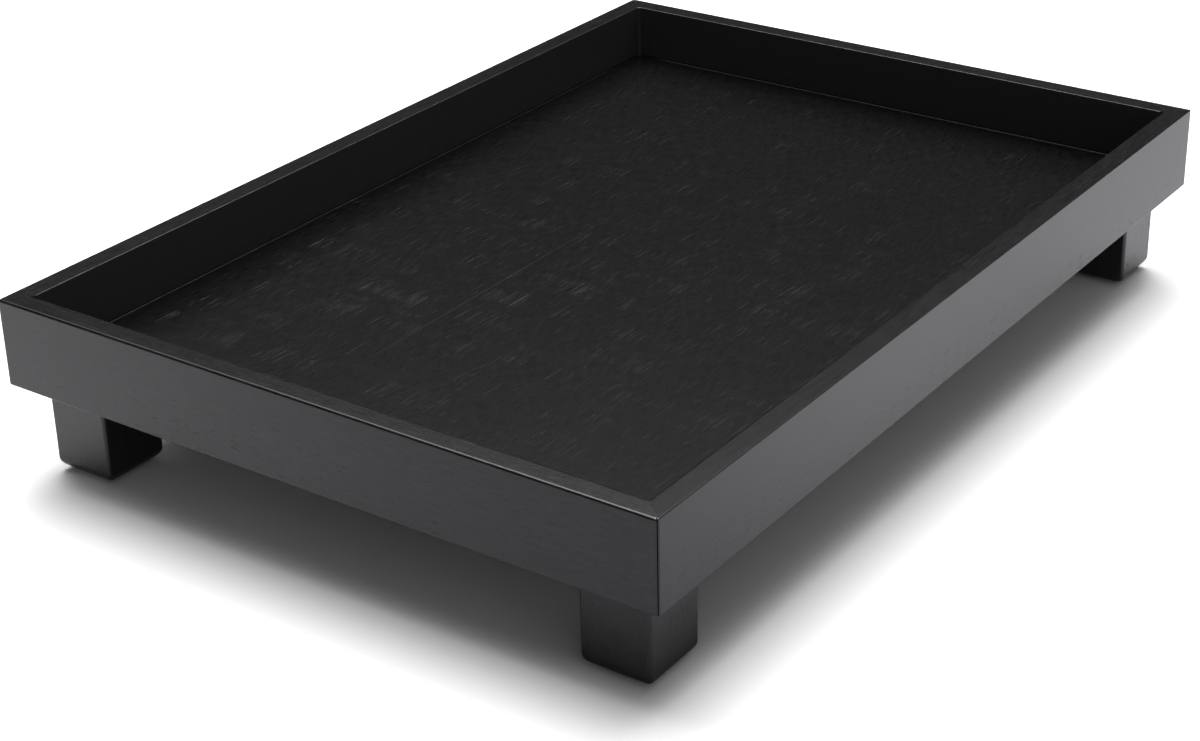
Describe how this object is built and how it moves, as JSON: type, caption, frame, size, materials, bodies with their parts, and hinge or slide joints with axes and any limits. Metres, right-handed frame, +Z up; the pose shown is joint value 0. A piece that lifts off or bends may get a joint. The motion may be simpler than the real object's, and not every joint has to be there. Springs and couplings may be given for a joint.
{
  "type": "serving tray",
  "caption": "Low rectangular serving tray in black-stained timber: mitred side rails round a recessed flat base panel, on square block feet with felt pads.",
  "frame": {"origin": "on the table, under the middle of the tray", "axes": "+X along the long sides, +Y along the short sides towards the back rail, +Z up"},
  "size_m": [0.425, 0.3, 0.075],
  "materials": {
    "rail_timber": "black stain under satin lacquer, open pores, grain along each rail",
    "panel_timber": "black stain under satin lacquer, open pores, grain along the long sides",
    "foot_timber": "black stain under satin lacquer, open pores, grain upright",
    "screw_steel": "zinc-plated",
    "pad_felt": "dark grey felt",
    "spline_timber": "plain unstained timber, glued in"
  },
  "bodies": {
    "root": {"rail_front": "rail_timber", "rail_back": "rail_timber", "rail_left": "rail_timber", "rail_right": "rail_timber", "base_panel": "panel_timber", "foot_front_left": "foot_timber", "foot_front_right": "foot_timber", "foot_back_left": "foot_timber", "foot_back_right": "foot_timber", "foot_screw_front_left": "screw_steel", "foot_screw_front_right": "screw_steel", "foot_screw_back_left": "screw_steel", "foot_screw_back_right": "screw_steel", "foot_pad_front_left": "pad_felt", "foot_pad_front_right": "pad_felt", "foot_pad_back_left": "pad_felt", "foot_pad_back_right": "pad_felt", "mitre_spline_front_left": "spline_timber", "mitre_spline_front_right": "spline_timber", "mitre_spline_back_left": "spline_timber", "mitre_spline_back_right": "spline_timber"}
  },
  "joints": []
}
